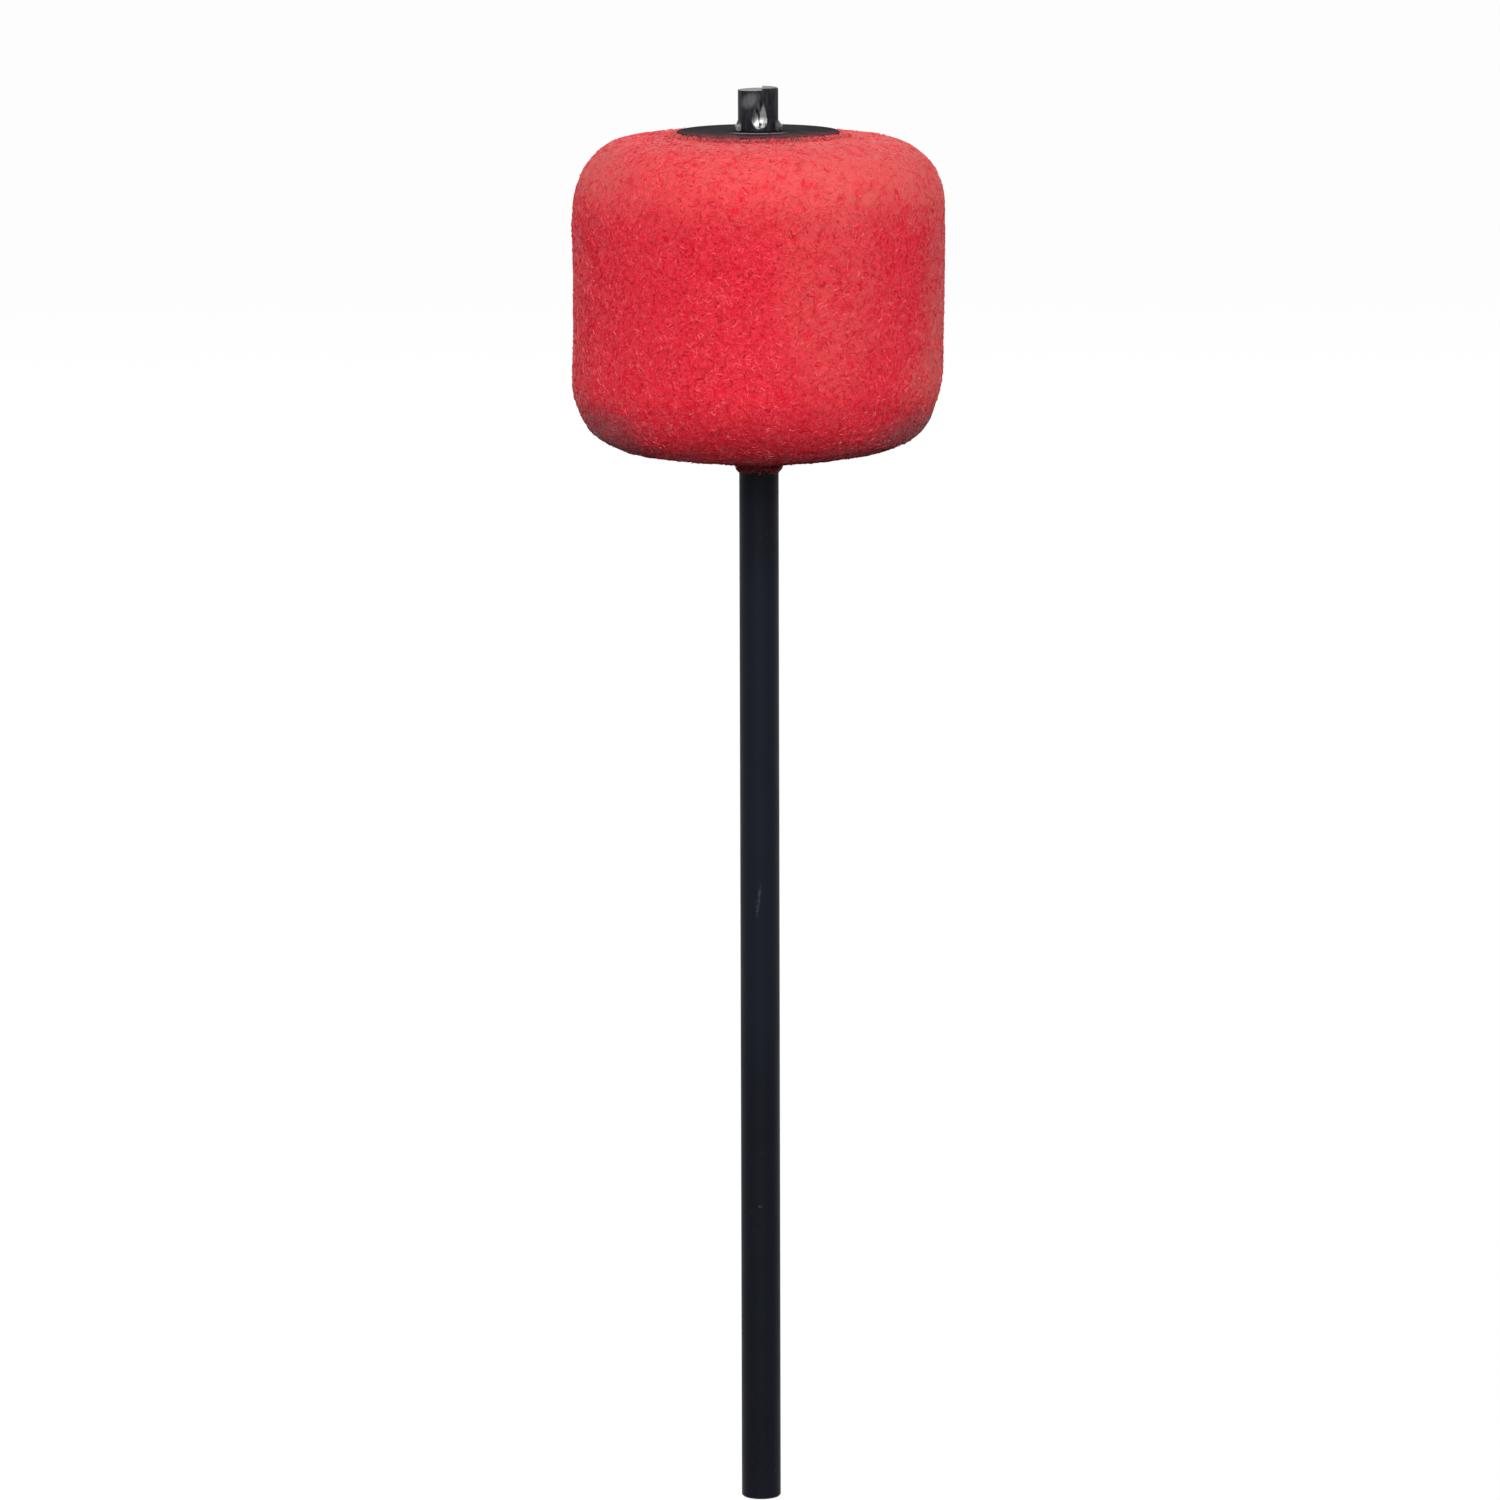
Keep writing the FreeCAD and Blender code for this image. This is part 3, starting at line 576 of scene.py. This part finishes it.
def line(start, end, spacing):
    """Points along a straight stretch of the section, without its end."""
    start, end = np.array(start), np.array(end)
    count = max(1, round(float(np.linalg.norm(end - start)) / spacing))
    return start + (end - start) * np.linspace(0, 1, count, endpoint=False)[:, None]


def end_arcs(apex, crown, corner, side):
    """A domed end's lip, dome and corner arcs, from the seat outwards.

    Side is 1 for the top and -1 for the bottom."""
    dome = dome_radius(crown)
    dome_centre = apex - side * dome
    across = FELT_RADIUS - corner
    fall = math.sqrt((dome - corner) ** 2 - across ** 2)
    corner_height = dome_centre + side * fall
    turn = side * math.atan2(fall, across)
    lean = side * math.acos((SEAT_RADIUS + LIP) / (dome - LIP))
    lip_centre = (SEAT_RADIUS + LIP, dome_centre + (dome - LIP) * math.sin(lean))
    lip = (lip_centre, LIP, side * math.pi, lean)
    return lip, ((0, dome_centre), dome, lean, turn), ((across, corner_height), corner, turn, 0)


def felt_section():
    """The section's outer points, the way that each faces and its distance along the outline."""
    bottom = end_arcs(FELT_LOW.z - dome_rise(BOTTOM_CROWN), BOTTOM_CROWN, BOTTOM_CORNER, -1)
    top = end_arcs(FELT_HIGH.z + dome_rise(TOP_CROWN), TOP_CROWN, TOP_CORNER, 1)
    pieces = [arc(*piece) for piece in bottom]
    flank = line((FELT_RADIUS, bottom[2][0][1]), (FELT_RADIUS, top[2][0][1]), ROW_SPACING)
    pieces.append((flank, np.zeros(len(flank))))
    pieces += [arc(centre, radius, end, start) for centre, radius, start, end in reversed(top)]
    points = np.concatenate([points for points, _ in pieces])
    facing = np.concatenate([facing for _, facing in pieces])
    steps = np.linalg.norm(np.diff(points, axis=0), axis=1)
    return points, facing, np.concatenate([[0.0], np.cumsum(steps)])


SECTION, FACING, ALONG = felt_section()


def seat_section():
    """The section's inner points: top seat, bore and bottom seat, down to the bottom lip."""
    corners = [(SEAT_RADIUS, SECTION[-1, 1]), (SEAT_RADIUS, TOP_SEAT), (BORE_RADIUS, TOP_SEAT)]
    corners += [(BORE_RADIUS, BOTTOM_SEAT), (SEAT_RADIUS, BOTTOM_SEAT), tuple(SECTION[0])]
    return np.concatenate([line(*ends, INNER_SPACING) for ends in zip(corners, corners[1:])])


def on_circle(turn, radius, height):
    """Places at some turns round the axis, distances from it and heights."""
    axes = np.broadcast_arrays(radius * np.cos(turn), radius * np.sin(turn), height)
    return np.stack(axes, axis=-1)


def lumps_at(points, lumps):
    """The height of lumpy noise at some points. The lumps are pairs of a size and a height."""
    total = np.zeros(len(points))
    for size, height in lumps:
        total += height * np.array([noise.noise(place) for place in (points / size).tolist()])
    return total


def bell(off, half_width):
    """1 in the middle, and less the further off it."""
    return np.exp(-(off / half_width) ** 2)


def felt_wear(turn, along):
    """How far worn and bulging places move the felt's face, most at its right and left."""
    wear = np.zeros(turn.shape)
    for side, middle, rise, half_length in WORN_PLACES:
        wear += rise * np.clip(side * np.cos(turn), 0, 1) * bell(along - middle, half_length)
    return wear


def lip_swell(turn, along):
    """How far the felt rises round the upper washer: most at the front, not at the back."""
    rim = on_circle(turn, SEAT_RADIUS, 0.0)
    uneven = lumps_at(rim.reshape(-1, 3), SWELL_LUMPS).reshape(turn.shape)
    front_share = np.sqrt((1 - np.sin(turn)) / 2)
    off_place = np.abs((turn - LOW_PLACE_TURN + math.pi) % FULL_TURN - math.pi)
    low_place = 1 - bell(off_place, LOW_PLACE_WIDTH)
    return front_share * low_place * (SWELL_RISE + uneven) * bell(ALONG[-1] - along, SWELL_WIDTH)


def felt_face(turn, along, lift):
    """Places on the felt's uneven outer face, lifted off it, and the way that its section faces."""
    radius = np.interp(along, ALONG, SECTION[:, 0])
    height = np.interp(along, ALONG, SECTION[:, 1])
    facing = np.interp(along, ALONG, FACING)
    places = on_circle(turn, radius, height)
    out = on_circle(turn, np.cos(facing), np.sin(facing))
    fade = np.clip(np.minimum(along, ALONG[-1] - along) / RELIEF_FADE, 0, 1)
    relief = lumps_at(places.reshape(-1, 3), RELIEF).reshape(turn.shape)
    places[..., 2] += lip_swell(turn, along)
    return places + out * (fade * (relief + felt_wear(turn, along)) + lift)[..., None], out


def new_piece(name, vertices, faces, materials):
    """A smooth-shaded mesh, placed in the scene."""
    mesh = bpy.data.meshes.new(name)
    mesh.from_pydata(vertices.tolist(), [], faces)
    mesh.polygons.foreach_set("use_smooth", np.ones(len(mesh.polygons), bool))
    for material in materials:
        mesh.materials.append(material)
    piece = bpy.data.objects.new(name, mesh)
    bpy.context.scene.collection.objects.link(piece)
    return piece


def make_felt():
    """The felt block: its uneven outer face, closed through the seats and the bore."""
    turns = np.linspace(0, FULL_TURN, ROUND_POINTS, endpoint=False)
    turn, along = np.meshgrid(turns, ALONG)
    outer = felt_face(turn, along, 0.0)[0]
    inner = seat_section()
    places = np.concatenate([outer, on_circle(turns, inner[:, :1], inner[:, 1:])])
    rows, columns = np.meshgrid(np.arange(len(places)), np.arange(ROUND_POINTS), indexing="ij")
    up, on = (rows + 1) % len(places), (columns + 1) % ROUND_POINTS
    corners = ((rows, columns), (rows, on), (up, on), (up, columns))
    faces = np.stack([(row * ROUND_POINTS + column).ravel() for row, column in corners], axis=1)
    felt = new_piece("felt_block", places.reshape(-1, 3), faces.tolist(), [felt_finish()])
    # The face unrolled into a square, as a UV map for baking.
    unrolled = ((rows, columns), (rows, columns + 1), (rows + 1, columns + 1), (rows + 1, columns))
    spots = [np.stack([column.ravel() / ROUND_POINTS, row.ravel() / len(places)], axis=1)
             for row, column in unrolled]
    spots = np.stack(spots, axis=1)
    felt.data.uv_layers.new(name="OFBake").data.foreach_set("uv", spots.ravel())
    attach(felt, "head")
    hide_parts("felt_head")


def fibre_faces():
    """Faces of one fibre: a closed three-sided spindle with a point at each end."""
    rings = [[1 + 3 * ring + corner for corner in range(3)] for ring in range(FIBRE_POINTS - 2)]
    last = 1 + 3 * len(rings)
    pairs = [(0, 1), (1, 2), (2, 0)]
    faces = [(0, rings[0][here], rings[0][there]) for here, there in pairs]
    for below, above in zip(rings, rings[1:]):
        faces += [(below[here], above[here], above[there], below[there]) for here, there in pairs]
    return faces + [(last, rings[-1][there], rings[-1][here]) for here, there in pairs]


def fibre_curls(draw, count):
    """Each fibre's points, as distances sideways and upwards from its middle."""
    length = draw.uniform(*FIBRE_LENGTH, count)
    heading = draw.uniform(0, FULL_TURN, count)
    curl = draw.normal(0, FIBRE_CURL, (count, 1))
    curl = curl + draw.normal(0, FIBRE_WAVER, (count, FIBRE_POINTS))
    bearing = heading[:, None] + curl * (FIBRE_SHARE - 0.5)
    step = length[:, None] / (FIBRE_POINTS - 1)
    sideways = np.cumsum(step * np.cos(bearing), axis=1)
    upwards = np.cumsum(step * np.sin(bearing), axis=1)
    sideways -= sideways.mean(axis=1, keepdims=True)
    upwards -= upwards.mean(axis=1, keepdims=True)
    return sideways, upwards


def fibre_paths(draw, count, band, turns, standing_share, standing_lift):
    """Each fibre's points as turns round the head, distances along its outline and lifts off it."""
    area = np.concatenate([[0.0], np.cumsum(np.diff(ALONG) * SECTION[1:, 0])])
    ends = np.interp(band, ALONG, area)
    root = np.interp(draw.uniform(*ends, count), area, ALONG)
    turn = draw.uniform(*turns, count)
    sideways, upwards = fibre_curls(draw, count)
    along = np.clip(root[:, None] + upwards, 0, ALONG[-1])
    radius = np.interp(root, ALONG, SECTION[:, 0])[:, None]
    arch = draw.uniform(*FIBRE_LIFT, (count, 1)) * np.sin(math.pi * FIBRE_SHARE)
    standing = draw.uniform(0, 1, (count, 1)) < standing_share
    rise = draw.uniform(*standing_lift, (count, 1)) * FIBRE_SHARE ** STANDING_BEND
    return turn[:, None] + sideways / radius, along, np.where(standing, rise, arch) - FIBRE_SINK


def smooth_step(value, low, high):
    """A smooth step of a value, from 0 to 1 between two levels."""
    share = np.clip((value - low) / (high - low), 0, 1)
    return share ** 2 * (3 - 2 * share)


def spots_share(x, z, places):
    """How far each spot lies in some oval places."""
    total = np.zeros(len(x))
    for middle_x, middle_z, wide, high, share in places:
        total += share * bell(x - middle_x, wide) * bell(z - middle_z, high)
    return total


def picked_shades(pick, colours, first=0):
    """The shades that some picks from 0 to 1 fall on, numbered from the first of these colours."""
    steps = np.cumsum([share for _, _, share in colours])[:-1]
    return first + np.searchsorted(steps, pick)


def nap_shades(draw, places, least_faded):
    """The shade of each fibre: a random pick, paler in pale lumps, pale in rubbed places and where a
    highlight is painted, and dark where shade is painted and on the upper rim.
    """
    x, y, z = places.T
    # Painted highlight: more pale fibres towards the upper corner.
    pale_and_lit = TOP_LIGHT_MOST * smooth_step(z, TOP_LIGHT_START, TOP_LIGHT_FULL) * (1 + TOP_LIGHT_LEAN * x / FELT_RADIUS)
    front = 1 - smooth_step(y, PALE_FULL, PALE_END)
    # Pale places: rubbed felt, with painted highlight and sheen at the upper corners and side edges.
    pale_and_lit += front * spots_share(x, z, PALE_PLACES)
    # Painted shade: darkened fibres at the lower corners and along the bottom, and on the upper rim.
    darkened = front * spots_share(x, z, DARKENED_PLACES)
    pick = draw.uniform(0, 1, len(places)) + lumps_at(places, SHADE_LUMPS)
    fresh_shade = picked_shades(pick, NAP_COLOURS)
    pale_and_lit_shade = picked_shades(pick, PALE_AND_LIT_COLOURS, FIRST_PALE_AND_LIT)
    darkened_shade = picked_shades(pick, DARKENED_COLOURS, FIRST_DARKENED)
    is_pale_and_lit = draw.uniform(0, 1, len(places)) < np.maximum(pale_and_lit, least_faded)
    is_darkened = draw.uniform(0, 1, len(places)) < darkened
    return np.where(is_darkened, darkened_shade, np.where(is_pale_and_lit, pale_and_lit_shade, fresh_shade))


def fibre_piece(name, draw, middle, out, shade, materials, body):
    """One piece of many fibres, from their points, the way that these face and their shades."""
    count = len(middle)
    ahead = np.gradient(middle, axis=1)
    aside = np.cross(ahead, out)
    aside /= np.linalg.norm(aside, axis=2, keepdims=True)
    width = draw.uniform(*FIBRE_WIDTH, (count, 1, 1))
    across, upwards = np.cos(FIBRE_ANGLES)[:, None], np.sin(FIBRE_ANGLES)[:, None]
    rounds = across * aside[:, 1:-1, None] + upwards * out[:, 1:-1, None]
    rings = middle[:, 1:-1, None] + rounds * width[..., None]
    places = np.concatenate([middle[:, :1], rings.reshape(count, -1, 3), middle[:, -1:]], axis=1)
    first = np.arange(count) * places.shape[1]
    spindle = fibre_faces()
    faces = [[start + corner for corner in face] for start in first.tolist() for face in spindle]
    piece = new_piece(name, places.reshape(-1, 3), faces, materials)
    face_shades = np.repeat(shade, len(spindle)).astype(np.int32)
    piece.data.polygons.foreach_set("material_index", face_shades)
    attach(piece, body)


def make_nap(name, seed, count, materials, paths, least_faded=0.0):
    """A scatter of curled fibres on the felt's outer face. The paths are those of fibre_paths."""
    draw = np.random.default_rng(seed)
    turns, along, lift = fibre_paths(draw, count, **paths)
    middle, out = felt_face(turns, along, lift)
    shade = nap_shades(draw, middle[:, FIBRE_POINTS // 2], least_faded)
    fibre_piece(name, draw, middle, out, shade, materials, "head")


def make_fluff(materials):
    """Fluff caught round the rod's collar, thinner further down."""
    draw = np.random.default_rng(FLUFF_SEED)
    turn = draw.uniform(0, FULL_TURN, (FLUFF_FIBRES, 1))
    low, high = FLUFF_HEIGHTS[0], FLUFF_HEIGHTS[-1]
    root = low + (high - low) * np.sqrt(draw.uniform(0, 1, (FLUFF_FIBRES, 1)))
    sideways, upwards = fibre_curls(draw, FLUFF_FIBRES)
    height = np.clip(root + FLUFF_SLANT * upwards, low, high)
    lift = draw.uniform(0, FLUFF_LIFT, (FLUFF_FIBRES, 1))
    radius = np.interp(height, FLUFF_HEIGHTS, FLUFF_RADII) + lift
    turns = turn + sideways / radius
    middle, out = on_circle(turns, radius, height), on_circle(turns, 1.0, 0.0)
    shade = picked_shades(draw.uniform(0, 1, FLUFF_FIBRES), PALE_AND_LIT_COLOURS, FIRST_PALE_AND_LIT)
    fibre_piece("collar_fluff", draw, middle, out, shade, materials, "shaft")


def make_fibres():
    """All the loose fibres: the nap all over, the fuzz at the front rim and the collar's fluff."""
    colours = NAP_COLOURS + PALE_AND_LIT_COLOURS + DARKENED_COLOURS
    materials = [nap_finish(name, colour) for name, colour, _ in colours]
    all_over = {"band": (0, ALONG[-1]), "turns": (0, FULL_TURN)}
    all_over |= {"standing_share": STANDING_SHARE, "standing_lift": STANDING_LIFT}
    front_rim = {"band": (ALONG[-1] - FUZZ_BAND, ALONG[-1]), "turns": FUZZ_TURNS}
    front_rim |= {"standing_share": 1.0, "standing_lift": FUZZ_LIFT}
    for index in range(1, NAP_PIECES + 1):
        make_nap(f"felt_nap_{index}", NAP_SEED + index, NAP_FIBRES, materials, all_over)
    make_nap("felt_rim_fuzz", NAP_SEED, FUZZ_FIBRES, materials, front_rim, FUZZ_FADED)
    make_fluff(materials)


def dress_solids():
    """Give each solid that shows its own finish."""
    washer = washer_finish()
    finishes = {"shaft": rod_finish(), "core_sleeve": sleeve_finish()}
    finishes |= {"top_washer": washer, "bottom_washer": washer}
    for node, material in finishes.items():
        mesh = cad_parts[node].data
        mesh.materials.clear()
        mesh.materials.append(material)


def seen_directly(tree):
    """1 for rays from the camera or off shiny and clear surfaces, which see the backdrop itself."""
    path = tree.nodes.new("ShaderNodeLightPath")
    seen = path.outputs["Is Camera Ray"]
    for kind in ("Is Glossy Ray", "Is Transmission Ray"):
        either = tree.nodes.new("ShaderNodeMath")
        either.operation = "MAXIMUM"
        tree.links.new(seen, either.inputs[0])
        tree.links.new(path.outputs[kind], either.inputs[1])
        seen = either.outputs[0]
    return seen


def mixed(tree, factor, first, second):
    """A shader between two. The factor is a number or a socket."""
    mix = tree.nodes.new("ShaderNodeMixShader")
    if isinstance(factor, bpy.types.NodeSocket):
        tree.links.new(factor, mix.inputs[0])
    else:
        mix.inputs[0].default_value = factor
    tree.links.new(first.outputs[0], mix.inputs[1])
    tree.links.new(second.outputs[0], mix.inputs[2])
    return mix


def coloured(tree, kind, level, strength=None):
    """A shader of a grey level and, where it shines, a strength."""
    shader = tree.nodes.new(kind)
    shader.inputs["Color"].default_value = (level, level, level, 1)
    if strength is not None:
        shader.inputs["Strength"].default_value = strength
    return shader


def empty_tree(owner):
    """The node tree of a world or material, emptied."""
    owner.use_nodes = True
    owner.node_tree.nodes.clear()
    return owner.node_tree


def make_world():
    """Even light from all round. The backdrop itself is white."""
    world = bpy.data.worlds.new("studio")
    bpy.context.scene.world = world
    tree = empty_tree(world)
    even = coloured(tree, "ShaderNodeBackground", 1.0, AMBIENT)
    white = coloured(tree, "ShaderNodeBackground", 1.0, 1.0)
    output = tree.nodes.new("ShaderNodeOutputWorld")
    tree.links.new(mixed(tree, seen_directly(tree), even, white).outputs[0], output.inputs[0])


def make_floor():
    """A wide white floor under the rod. It glows enough to stay white, but takes the shadow."""
    material = bpy.data.materials.new("white_floor")
    tree = empty_tree(material)
    paper = coloured(tree, "ShaderNodeBsdfDiffuse", FLOOR_PAPER)
    dim_paper = coloured(tree, "ShaderNodeBsdfDiffuse", FLOOR_DIM_PAPER)
    glow = coloured(tree, "ShaderNodeEmission", 1.0, FLOOR_GLOW)
    shown = mixed(tree, FLOOR_GLOW_SHARE, paper, glow)
    output = tree.nodes.new("ShaderNodeOutputMaterial")
    tree.links.new(mixed(tree, seen_directly(tree), dim_paper, shown).outputs[0], output.inputs[0])
    signs = ((-1, -1), (1, -1), (1, 1), (-1, 1))
    corners = [(x * FLOOR_REACH, y * FLOOR_REACH, -FLOOR_DROP) for x, y in signs]
    mesh = bpy.data.meshes.new("floor")
    mesh.from_pydata(corners, [], [(0, 1, 2, 3)])
    mesh.materials.append(material)
    floor = bpy.data.objects.new("floor", mesh)
    bpy.context.scene.collection.objects.link(floor)


def put_up(name, thing, place, target, roll=0.0):
    """Put a camera or lamp somewhere, facing a target."""
    holder = bpy.data.objects.new(name, thing)
    bpy.context.scene.collection.objects.link(holder)
    holder.location = place
    holder.rotation_mode = "QUATERNION"
    facing = (Vector(target) - Vector(place)).to_track_quat("-Z", "Y")
    holder.rotation_quaternion = facing @ Quaternion((0, 0, 1), roll)
    return holder


def make_lamps():
    """Soft boxes round the head, all facing it."""
    head = (0, 0, (FELT_LOW.z + FELT_HIGH.z) / 2)
    for name, place, size, power in LAMPS:
        lamp = bpy.data.lights.new(name, "AREA")
        lamp.shape = "RECTANGLE"
        lamp.size, lamp.size_y = size
        lamp.energy = power
        put_up(name, lamp, place, head)


def make_camera():
    """The photograph's camera."""
    camera = bpy.data.cameras.new("photo_camera")
    camera.lens = CAMERA_LENS
    camera.sensor_width = CAMERA_SENSOR
    camera.clip_end = 2 * FLOOR_REACH
    holder = put_up("photo_camera", camera, CAMERA_PLACE, CAMERA_AIM, CAMERA_ROLL)
    bpy.context.scene.camera = holder


dress_solids()
make_felt()
make_fibres()
make_world()
make_floor()
make_lamps()
make_camera()
bpy.context.scene.view_settings.view_transform = "Standard"
